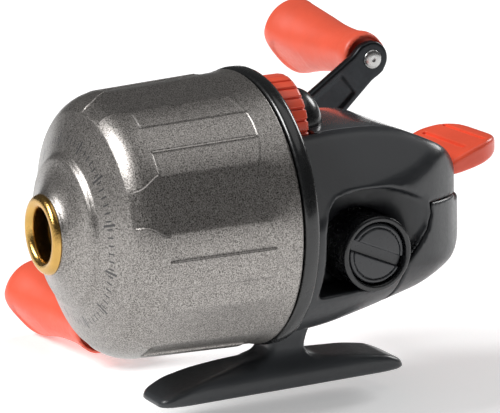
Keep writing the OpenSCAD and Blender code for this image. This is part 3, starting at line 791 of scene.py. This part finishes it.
def pocket(P, grow, floor):
    """The hollow in each flank, from x = floor outwards; it grows shallow to the rear."""
    shape = flat_outline(P, 1, 2, rounded(POCKET, 1.6)) - grow
    boss = round_bar(P, 0, CRANK[1:], BOSS_R - 0.3 - grow)
    deep = floor + 1.5 * (P[..., 0] < 0) + POCKET_RISE * step(P[..., 1], 12, 27)
    return smooth_max(np.maximum(shape, -boss), deep - np.abs(P[..., 0]), 1.0)


def tail_side(P):
    """Negative behind and below the seam of the tail cover."""
    return flat_outline(P, 1, 2, TAIL_EDGE)


def housing_hollow(P, outer):
    """Space inside the shells, with the pockets and bosses walled off."""
    cup = np.minimum(pocket(P, 1.8, CUP_FLOOR), round_bar(P, 0, CRANK[1:], BOSS_R + 1.5))
    cup = np.maximum(cup, CUP_FLOOR + 1.6 * (P[..., 0] < 0) - np.abs(P[..., 0]))
    return np.maximum(outer + SHELL_WALL, -cup)


def button_well(P):
    """The opening at the rear that the button moves in."""
    wide = np.abs(P[..., 0]) - 13.4
    along = smooth_max(wide, BUTTON_WELL_Y - P[..., 1], 2.5)
    return smooth_max(along, BUTTON_WELL_Z - P[..., 2], 1.5)


def dial_slot(P):
    """The slot across the roof that the dial stands in."""
    wide = np.abs(P[..., 0]) - 12.2
    along = slab(P, 1, -3.2, 5.2)
    return smooth_max(np.maximum(wide, along), 44 - P[..., 2], 0.5)


def panel_area(P, gap):
    """Where the roof panel lies, drawn in by a gap."""
    wide = np.abs(P[..., 0]) - 12 + gap
    along = slab(P, 1, 5.2 + gap, 37 - gap)
    return smooth_max(np.maximum(wide, along), 45 - P[..., 2], 0.5)


def rear_cover_field(P):
    outer = housing_outer(P)
    shell = smooth_max(outer, -housing_hollow(P, outer), 0.4)
    shell = smooth_max(shell, -pocket(P, 0, POCKET_FLOOR), 1.4)
    shell = smooth_max(shell, -round_bar(P, 0, CRANK[1:], BOSS_R + 0.1), 0.5)
    shell = smooth_max(shell, -(tail_side(P) - 0.12), 0.5)
    shell = smooth_max(shell, -button_well(P), 0.8)
    shell = smooth_max(shell, -np.maximum(panel_area(P, 0), -outer - 1.25), 0.4)
    return smooth_max(shell, -dial_slot(P), 0.5)


def tail_cover_field(P):
    outer = housing_outer(P)
    hollow = np.maximum(outer + SHELL_WALL, slab(P, 2, -10, TAIL_FLOOR_Z))
    front = np.maximum(outer + SHELL_WALL, P[..., 1] - 36)
    shell = smooth_max(outer, -np.minimum(hollow, front), 0.4)
    shell = smooth_max(shell, -button_well(P), 0.6)
    shell = smooth_max(shell, -round_bar(P, 0, CRANK[1:], BOSS_R + 0.35), 0.4)
    return smooth_max(shell, tail_side(P) + 0.18, 0.5)


def top_panel_field(P):
    outer = housing_outer(P)
    skin = smooth_max(outer, -(outer + 1.0), 0.2)
    skin = smooth_max(skin, panel_area(P, 0.16), 0.35)
    return smooth_max(skin, -button_well(P), 0.5)


def hood_field(P):
    """The rounded hood behind the dial, hollow underneath."""
    def bell(inset):
        r = np.hypot(P[..., 0], P[..., 2] - DIAL_Z)
        t = np.clip((P[..., 1] - 5.6) / 6.6, 0, 1)
        size = (8.0 - inset) * np.sqrt(np.maximum(1 - t ** 2.4, 0.0005))
        return np.maximum(r - size, 5.45 - P[..., 1])
    whole = smooth_max(bell(0), -bell(1.5), 0.3)
    return smooth_max(whole, 60.8 - P[..., 2], 0.3)


HOUSING_BOX = ((-31.5, FRONT_Y - 1, 11), (31.5, 48, 63))
finish_piece(from_field("rear_shell", rear_cover_field, *HOUSING_BOX, 0.72), SHELL_BLACK,
             "housing", "black_satin", "rear_cover")
finish_piece(from_field("tail_shell", tail_cover_field, (-31.5, 21, 11), (31.5, 48, 45), 0.72),
             SHELL_BLACK, "housing", "black_satin", "tail_cover")
finish_piece(from_field("roof_panel", top_panel_field, (-13, 4, 44), (13, 38, 63), 0.4),
             PANEL_GREY, "housing", "grey_gloss", "top_panel")
finish_piece(from_field("dial_hood", hood_field, (-10, 5, 60), (10, 14, 71), 0.3),
             BOSS_BLACK, "housing", "black_satin")


# ---------------------------------------------------------------------------
# Bosses and the slotted cap
# ---------------------------------------------------------------------------


def turned_x(name, profile, y0, z0, count=112):
    """A closed ring of a profile turned about a line along X; points are (radius, x)."""
    profile = np.asarray(profile, float)
    n = len(profile)
    verts = []
    for k in range(count):
        a = 2 * math.pi * k / count
        for r, x in profile:
            verts.append((x, y0 + r * math.cos(a), z0 + r * math.sin(a)))
    faces = []
    for k in range(count):
        m = (k + 1) % count
        for i in range(n):
            j = (i + 1) % n
            faces.append((k * n + i, k * n + j, m * n + j, m * n + i))
    obj = add_object(name, verts, faces)
    recalc(obj)
    return obj


def boss_profile(side):
    """Outer tube with a rolled lip; side 1 has the seat for the cap."""
    r = BOSS_R
    if side > 0:
        return [(4.2, 12.3), (r - 0.1, 12.3), (r - 0.1, 22.9), (r, 23.3), (r - 0.08, 23.72),
                (r - 0.35, 23.95), (r - 0.7, BOSS_X), (7.65, BOSS_X), (7.4, 23.85),
                (7.3, 23.5), (7.3, 16), (4.2, 16)]
    return [(5.4, -13.8), (5.4, -22.4), (5.6, -22.9), (6.1, -23.0), (7.3, -23.0),
            (7.5, -23.2), (7.6, -23.9), (7.8, -BOSS_X), (r - 0.6, -BOSS_X),
            (r - 0.2, -23.85), (r, -23.4), (r - 0.1, -22.9), (r - 0.1, -13.8)]


def slotted_cap_field(P):
    """A domed disc with one screwdriver slot and a plug behind it."""
    r = np.hypot(P[..., 1] - CRANK[1], P[..., 2] - CRANK[2])
    face = BOSS_X - 0.2 - 0.35 * (r / 6.9) ** 2
    disc = smooth_max(r - 6.9, np.maximum(P[..., 0] - face, 20.6 - P[..., 0]), 0.6)
    plug = np.maximum(r - 6.4, slab(P, 0, 16.3, 21))
    plug = np.maximum(plug, -(np.maximum(r - 4.6, P[..., 0] - 20.4)))
    lean = math.radians(-24)
    across = (P[..., 1] - CRANK[1]) * math.sin(lean) - (P[..., 2] - CRANK[2]) * math.cos(lean)
    slot = np.maximum(np.abs(across) - 1.25, BOSS_X - 1.6 - P[..., 0])
    groove = np.maximum(np.abs(r - 5.9) - 0.12, 23.1 - P[..., 0])
    whole = np.minimum(disc, plug)
    return smooth_max(np.maximum(whole, -groove), -slot, 0.25)


finish_piece(turned_x("boss_left_tube", boss_profile(1), *CRANK[1:]), BOSS_BLACK, "housing",
             "black_satin", "left_boss")
finish_piece(turned_x("boss_right_tube", boss_profile(-1), *CRANK[1:]), BOSS_BLACK, "housing",
             "black_satin", "right_boss")
finish_piece(from_field("cap_slotted", slotted_cap_field,
                        (16, CRANK[1] - 7.5, CRANK[2] - 7.5),
                        (24.2, CRANK[1] + 7.5, CRANK[2] + 7.5), 0.22),
             CAP_BLACK, "cap", "black_satin", "side_cap")


# ---------------------------------------------------------------------------
# Foot
# ---------------------------------------------------------------------------

FOOT_LOW, FOOT_HIGH = box_mm("reel_foot")
FOOT_LEN = FOOT_HIGH[1] - FOOT_LOW[1]
FOOT_W = FOOT_HIGH[0] - FOOT_LOW[0]


def foot_outlines():
    h, w = FOOT_LEN / 2, FOOT_W / 2
    side = [(-h, 0), (-h, 0.9), (1 - h, 2.0), (-26, 3.9), (-18, 5.7), (-8, 7.5), (4, 7.2),
            (10, 6.2), (20, 5.2), (27, 4), (h - 1.4, 2.4), (h, 0.8), (h, 0)]
    half = [(w - 2.4, -h), (w - 0.7, 2 - h), (w, 6 - h), (w, h - 6), (w - 0.7, h - 2),
            (w - 2.4, h)]
    plan = half + [(-x, y) for x, y in half[::-1]]
    stem = [(-6.2, 6.2), (-3.8, 7.4), (-3, 9.4), (-3, 22), (12, 22), (10.6, 16.6),
            (7.2, 12.4), (5.9, 9), (6.4, 6.4), (8.4, 4.6), (8.4, 2), (-6.2, 2)]
    return rounded(side, 1.2), rounded(plan, 2.5), rounded(stem, 2.4)


FOOT_SIDE, FOOT_PLAN, STEM_SIDE = foot_outlines()


def foot_field(P):
    crown = round_bar(P, 1, (0, -1.2), 8.9)
    side = flat_outline(P, 1, 2, FOOT_SIDE)
    plan = flat_outline(P, 0, 1, FOOT_PLAN)
    pad = smooth_max(smooth_max(crown, side, 0.6), plan, 1.4)
    width = 4.5 - 0.5 * step(P[..., 2], 8, 13) + 0.6 * step(P[..., 2], 14, 20)
    stem = smooth_max(flat_outline(P, 1, 2, STEM_SIDE), np.abs(P[..., 0]) - width, 1.6)
    whole = np.maximum(smooth_min(pad, stem, 2.6), -P[..., 2])
    whole = np.maximum(whole, -(housing_outer(P) - 0.1))
    ring = np.hypot(P[..., 0], P[..., 2] - AXIS_Z) - RING_R - 0.15
    return np.maximum(whole, -np.maximum(ring, P[..., 1] - FRONT_Y - 0.15))


finish_piece(from_field("foot_casting", foot_field, (-7.5, -32.5, 0), (7.5, 32.5, 20), 0.55),
             FOOT_BLACK, "housing", "black_satin", "reel_foot")


# ---------------------------------------------------------------------------
# Drag dial
# ---------------------------------------------------------------------------


def dial_piece():
    low, high = box_mm("drag_dial")
    radius = (high[0] - low[0]) / 2
    ribs = 26
    front, back = low[1], high[1]
    profile = [(2.1, back - 0.2), (2.3, back), (radius - 1.3, back), (radius - 0.55, back - 0.2),
               (radius - 0.1, back - 0.6), (radius, back - 1.2), (radius, front + 1.2),
               (radius - 0.1, front + 0.6), (radius - 0.55, front + 0.2),
               (radius - 1.3, front), (radius - 2.4, front), (radius - 2.6, front + 0.3),
               (radius - 2.6, front + 2), (4.1, front + 2), (4, front + 0.2), (3.8, front),
               (2.3, front), (2.1, front + 0.2)]

    def warp(r, y, a, i):
        if 2 <= i <= 9:
            phase = (a * ribs / (2 * math.pi)) % 1
            cut = step(abs(phase - 0.5), 0.35, 0.42)
            r -= 0.62 * float(cut)
        return r, y

    obj = turned("dial_ribbed", profile, 0, DIAL_Z, ribs * (20), warp)
    return finish_piece(obj, CORAL, "dial", "coral_plastic", "drag_dial")


dial_piece()


# ---------------------------------------------------------------------------
# Thumb button
# ---------------------------------------------------------------------------

BUTTON_LOW, BUTTON_HIGH = box_mm("thumb_button")
BUTTON_HALF = (BUTTON_HIGH[0] - BUTTON_LOW[0]) / 2
BUTTON_SIDE = rounded([(37.4, 48.4), (37.4, 46.3), (42.5, 46.5), (50, 48), (55.8, 49.2),
                       (57.6, 50.4), (57.4, 52.2), (55, 53.5), (51.4, 53.4), (46.3, 52.3),
                       (41, 50.1)], 1.5)
BUTTON_ARM = [(31, 53.2), (31, 50.8), (38.6, 46.6), (40.4, 47), (40.4, 49)]
BUTTON_TONGUE = [(30, 51), (33, 51), (34.8, 41), (32.6, 41)]
# Each groove as its y and the height of its floor
BUTTON_GROOVES = [(39.5, 48.5), (46, 51.3), (51.4, 52.6)]


def button_plan():
    w = BUTTON_HALF
    half = [(w, 28), (w, 47), (w - 0.8, 50.4), (w - 2.7, 53.4), (w - 5.4, 55.6), (w - 9, 57)]
    return rounded(half + [(-x, y) for x, y in half[::-1]], 2.5)


BUTTON_PLAN = button_plan()


def button_field(P):
    """A grooved paddle, two arms to the barrel on the pin, and the tongue that pushes."""
    side = flat_outline(P, 1, 2, BUTTON_SIDE)
    plan = flat_outline(P, 0, 1, BUTTON_PLAN)
    pad = smooth_max(side, plan, 1.3)
    for y, floor in BUTTON_GROOVES:
        ends = np.abs(P[..., 0]) - BUTTON_HALF + 3.2
        groove = np.maximum(np.maximum(np.abs(P[..., 1] - y) - 0.5, floor - P[..., 2]), ends)
        pad = smooth_max(pad, -groove, 0.12)
    barrel = np.maximum(round_bar(P, 0, PIVOT[1:], 2.5), np.abs(P[..., 0]) - 9.5)
    arms = np.maximum(np.abs(np.abs(P[..., 0]) - 8) - 1.5, flat_outline(P, 1, 2, BUTTON_ARM))
    tongue = flat_outline(P, 1, 2, BUTTON_TONGUE)
    tongue = smooth_max(tongue, np.abs(P[..., 0]) - 3, 0.4)
    whole = smooth_min(smooth_min(pad, np.minimum(barrel, arms), 0.6), tongue, 0.5)
    return np.maximum(whole, -round_bar(P, 0, PIVOT[1:], 1.6))


finish_piece(from_field("button_paddle", button_field, (-13.2, 28, 40.5), (13.2, 58.2, 55), 0.28),
             CORAL, "button", "coral_plastic", "thumb_button")


# ---------------------------------------------------------------------------
# Crank
# ---------------------------------------------------------------------------

ARM_LOW, ARM_HIGH = box_mm("crank_arm")
ARM_OUT, ARM_IN = ARM_LOW[0], ARM_HIGH[0]
KNOB_A = joint_place("upper_knob_spin")
KNOB_B = joint_place("lower_knob_spin")
ARM_LEN = np.linalg.norm((KNOB_A - CRANK)[1:])
ARM_DIR = (KNOB_A - CRANK)[1:] / ARM_LEN
KNOB_ROOT = -box_mm("upper_knob")[1][0]
KNOB_END = -box_mm("upper_knob")[0][0]


def along_arm(P, centre):
    """Distance along the arm and across it, from a point on the crank's plane."""
    y, z = P[..., 1] - centre[1], P[..., 2] - centre[2]
    return y * ARM_DIR[0] + z * ARM_DIR[1], -y * ARM_DIR[1] + z * ARM_DIR[0]


def crank_arm_field(P):
    """A blade that tapers from the hub to both knobs, with a shallow inset on each half."""
    u, v = along_arm(P, CRANK)
    t = np.clip(np.abs(u) / ARM_LEN, 0, 1)
    waist = 7.7 + (4.0 - 7.7) * t
    blade = np.maximum(np.abs(v) - waist, np.abs(u) - ARM_LEN)
    hub = np.hypot(u, v) - 8
    plate = smooth_min(blade, hub, 1.5)
    for centre in (KNOB_A, KNOB_B):
        a, b = along_arm(P, centre)
        plate = smooth_min(plate, np.hypot(a, b) - 4.4, 1.5)
    thick = slab(P, 0, ARM_OUT, ARM_IN)
    whole = smooth_max(plate, thick, 0.8)
    inset = np.maximum(np.abs(v) - waist + 1.9, np.abs(np.abs(u) - 24.5) - 14)
    inset = np.maximum(inset, ARM_IN - 0.45 - P[..., 0])
    whole = smooth_max(whole, -inset, 0.7)
    holes = np.hypot(u, v) - 3.02
    for centre in (KNOB_A, KNOB_B):
        a, b = along_arm(P, centre)
        holes = np.minimum(holes, np.hypot(a, b) - 1.87)
    return np.maximum(whole, -holes)


def crank_nut_field(P):
    """A hex nut with turned corners, closed on the outside."""
    low, high = box_mm("crank_nut")
    y, z = P[..., 1] - CRANK[1], P[..., 2] - CRANK[2]
    r = np.hypot(y, z)
    flats = (high[2] - low[2]) / 2 * math.cos(math.pi / 6)
    hexagon = np.full(y.shape, -1e9)
    for k in range(3):
        a = math.radians(30 + 60 * k)
        hexagon = np.maximum(hexagon, np.abs(z * math.cos(a) + y * math.sin(a)) - flats)
    cone = (r - 4.9) * 0.6 + (low[0] - P[..., 0] + 0.35) * 0.8
    body = np.maximum(np.maximum(hexagon, cone), slab(P, 0, low[0], high[0]))
    return smooth_max(body, r - 4.95, 0.3)


def sleeve_profile():
    low, high = box_mm("crank_sleeve")
    x0, x1 = low[0], high[0]
    return [(3.05, x0), (4.7, x0), (5, x0 + 0.3), (5, x0 + 3), (4.75, x0 + 3.4),
            (4.75, x0 + 5.2), (5, x0 + 5.6), (5, x1 - 0.4), (4.7, x1), (3.05, x1)]


def pin_profile():
    """Rivet through the arm with a domed head on the inner face."""
    low = box_mm("knob_pins")[0]
    head = [(2.4, ARM_IN), (2.4, ARM_IN + 0.2), (2.2, ARM_IN + 0.42), (1.7, ARM_IN + 0.6),
            (0.9, ARM_IN + 0.69), (0.02, ARM_IN + 0.7)]
    return [(0.02, low[0]), (1.5, low[0]), (1.85, low[0] + 0.35), (1.85, ARM_IN)] + head


def knob_field(centre):
    """A flared paddle, flat on two sides, with a hollow collar and a shallow thumb rest."""
    length = KNOB_END - KNOB_ROOT
    flank = [(-8, 0.0), (5.2, 0), (6.0, 0.5), (6.2, 1.4), (6.2, 3.2), (5.9, 5), (5.8, 8),
             (5.9, 12), (6.3, 17), (7.1, 22), (8.3, 27.5), (9.2, 31), (9.75, 34),
             (9.8, 35.4), (9.5, 37), (8.6, 38.4), (7.0, 39.4), (5.0, length), (-8, length)]
    flank = rounded(flank, 1.2, 3)

    def field(P):
        t = -KNOB_ROOT - P[..., 0]
        u, v = along_arm(P, centre)
        r = np.hypot(u, v)
        body = outline(r, t, flank)
        face = 6.2 + 1.6 * step(t, 4, 22)
        body = smooth_max(body, np.abs(u) - face, 2.2)
        bed = np.sqrt(((t - 30) / 6.5) ** 2 + (v / 5.2) ** 2) - 1
        bed = np.maximum(bed * 4.0, 7.2 - np.abs(u))
        body = smooth_max(body, -bed, 1.0)
        collar = np.maximum(np.abs(r - 3.9) - 1.15, t - 2.6)
        body = smooth_max(body, -collar, 0.4)
        bore = np.maximum(r - 1.9, t - length + 3)
        return np.maximum(body, -bore)

    return field


def knob_piece(name, centre, body, node):
    field = knob_field(centre)
    low, high = box_mm(node)
    obj = from_field(name, field, low, high, 0.5)
    return finish_piece(obj, CORAL_SOFT, body, "coral_soft", node)


finish_piece(from_field("crank_blade", crank_arm_field, ARM_LOW, ARM_HIGH, 0.45), ARM_BLACK,
             "crank", "black_metal", "crank_arm")
finish_piece(from_field("crank_hex_nut", crank_nut_field, *box_mm("crank_nut"), 0.25), ARM_BLACK,
             "crank", "steel", "crank_nut")
finish_piece(turned_x("crank_sleeve_tube", sleeve_profile(), *CRANK[1:], 64), BOSS_BLACK,
             "crank", "black_satin", "crank_sleeve")
knob_piece("knob_upper_paddle", KNOB_A, "knob_a", "upper_knob")
knob_piece("knob_lower_paddle", KNOB_B, "knob_b", "lower_knob")
finish_piece(turned_x("rivet_upper", pin_profile(), *KNOB_A[1:], 40), STEEL, "crank", "steel",
             "knob_pins")
finish_piece(turned_x("rivet_lower", pin_profile(), *KNOB_B[1:], 40), STEEL, "crank", "steel",
             "knob_pins")


# ---------------------------------------------------------------------------
# Inner parts keep their CAD shape and get a finish
# ---------------------------------------------------------------------------

INNER = {
    "steel": (STEEL, ["deck_screws", "foot_screws", "frame_screws", "pickup_pin", "pin_spring",
                      "centre_shaft", "shaft_clip", "shaft_spring", "front_bearing",
                      "rear_bearing", "spool_clip", "drag_spring_washer", "drag_plate",
                      "drive_shaft", "ratchet_wheel", "crank_bearing", "antireverse_pawl",
                      "pawl_pin", "pawl_spring", "button_pin", "button_spring"]),
    "alloy": (ALLOY, ["deck_plate", "gear_frame", "spinner_head", "spool"]),
    "brass": (BRASS, ["spinner_nut", "pinion_gear", "dial_shaft", "drive_gear", "left_bush",
                      "drag_cam_ring"]),
    "line": (line_material(), ["wound_line"]),
    "felt": (felt_material(), ["drag_felt_washer"]),
}

for finish, names in INNER.values():
    for node in names:
        mesh = frame["nodes"][node].data
        for index in range(len(mesh.materials)):
            mesh.materials[index] = finish
        if not mesh.materials:
            mesh.materials.append(finish)


# ---------------------------------------------------------------------------
# Floor, lights and camera
# ---------------------------------------------------------------------------


def floor_piece():
    """A pale flat floor under the reel."""
    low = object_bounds()[0][2] - 0.0002
    bpy.ops.mesh.primitive_grid_add(x_subdivisions=40, y_subdivisions=40, size=6)
    obj = bpy.context.object
    obj.name = "studio_floor"
    obj.location = (0, 0, low)
    n = Nodes("floor_paper")
    n.base(n.mix(n.noise(0.02), (0.86, 0.86, 0.86), (0.9, 0.9, 0.9)))
    n.set("Roughness", 0.9)
    n.set("Emission Color", (1, 1, 1))
    n.set("Emission Strength", 0.35)
    n.bump(n.noise(0.8, 4), 0.05)
    obj.data.materials.append(n.material)
    return obj


VIEW_TURN, VIEW_RISE, VIEW_ROLL = 63.1, 13.75, -1.35
CAMERA_AWAY = 700
SENSOR_W = 36
LENS = SENSOR_W * 4.405 * CAMERA_AWAY / 500


def view_axes():
    """Right, up and backward axes of the photograph's viewpoint."""
    azimuth, elevation, roll = (math.radians(d) for d in (VIEW_TURN, VIEW_RISE, VIEW_ROLL))
    back = Vector((math.sin(azimuth) * math.cos(elevation),
                   -math.cos(azimuth) * math.cos(elevation), math.sin(elevation)))
    right = Vector((math.cos(azimuth), math.sin(azimuth), 0))
    up = back.cross(right)
    return (right * math.cos(roll) + up * math.sin(roll),
            up * math.cos(roll) - right * math.sin(roll), back)


def camera():
    right, up, back = view_axes()
    data = bpy.data.cameras.new("camera")
    data.sensor_width = SENSOR_W
    data.lens = LENS
    data.clip_start = 0.05
    data.clip_end = 50
    obj = bpy.data.objects.new("camera", data)
    bpy.context.scene.collection.objects.link(obj)
    centre = Vector((0, RIM_Y, AXIS_Z))
    place = centre + back * CAMERA_AWAY + right * 2.43 + up * 0.02
    turn = Matrix((right, up, back)).transposed().to_4x4()
    obj.matrix_world = Matrix.Translation(place * MM) @ turn
    bpy.context.scene.camera = obj


def soft_sun(name, towards, strength, spread):
    """A broad, even light that comes from a direction in the row frame."""
    data = bpy.data.lights.new(name, "SUN")
    data.energy = strength
    data.angle = math.radians(spread)
    obj = bpy.data.objects.new(name, data)
    bpy.context.scene.collection.objects.link(obj)
    obj.rotation_euler = Vector(towards).to_track_quat("Z", "Y").to_euler()
    return obj


def world_light(strength):
    world = bpy.data.worlds.new("studio")
    bpy.context.scene.world = world
    world.use_nodes = True
    background = world.node_tree.nodes["Background"]
    background.inputs["Color"].default_value = (1, 1, 1, 1)
    background.inputs["Strength"].default_value = strength


camera()
bpy.context.scene.view_settings.view_transform = "Standard"
world_light(0.07)
soft_sun("key", (-0.12, -0.72, 0.66), 2.9, 26)
soft_sun("top", (0.2, 0.25, 0.95), 0.45, 50)
soft_sun("back", (-0.25, 0.85, 0.46), 1.1, 22)
floor_piece()
